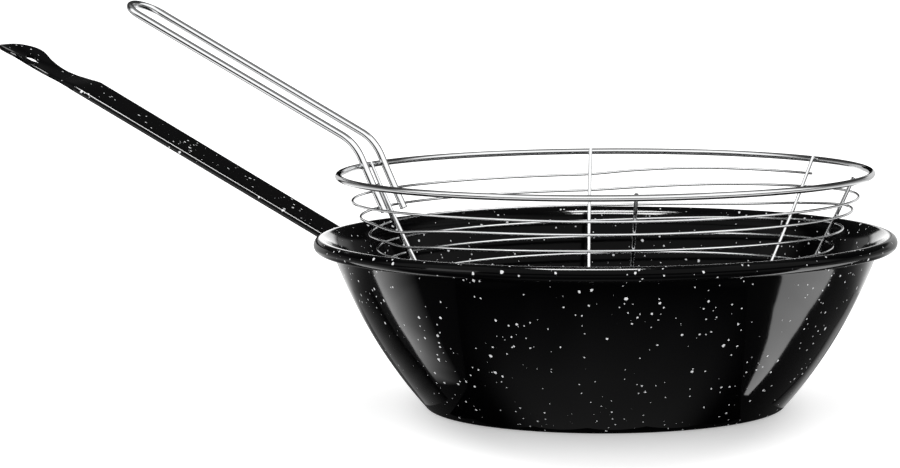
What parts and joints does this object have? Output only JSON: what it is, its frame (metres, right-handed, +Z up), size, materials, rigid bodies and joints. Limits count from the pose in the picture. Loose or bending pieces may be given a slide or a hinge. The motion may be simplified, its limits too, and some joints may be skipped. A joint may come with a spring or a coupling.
{
  "type": "deep fry pot with basket",
  "caption": "Flared round enamelled steel pot with rolled rim and long pressed handle, holding a lift-out wire frying basket with a long looped wire handle.",
  "frame": {"origin": "centre of the pot's flat base, on the surface it stands on", "axes": "+Z up along the pot's axis; both handles point along -X; +Y completes a right-handed frame"},
  "size_m": [0.498, 0.29, 0.2],
  "materials": {
    "pot_body": "gloss black enamel with fine white specks",
    "pot_handle": "gloss black enamel with fine white specks",
    "basket_top_ring": "bright plated wire",
    "basket_rib_wire_1": "bright plated wire",
    "basket_rib_wire_2": "bright plated wire",
    "basket_rib_wire_3": "bright plated wire",
    "basket_spiral_wire": "bright plated wire",
    "basket_handle_loop": "bright plated wire"
  },
  "bodies": {
    "pot": {"pot_body": "pot_body", "pot_handle": "pot_handle"},
    "basket": {"basket_top_ring": "basket_top_ring", "basket_rib_wire_1": "basket_rib_wire_1", "basket_rib_wire_2": "basket_rib_wire_2", "basket_rib_wire_3": "basket_rib_wire_3", "basket_spiral_wire": "basket_spiral_wire", "basket_handle_loop": "basket_handle_loop"}
  },
  "joints": [
    {"name": "basket_lift", "type": "slide", "parent": "pot", "child": "basket", "axis": [0, 0, 1], "range_m": [0, 0.15]}
  ]
}
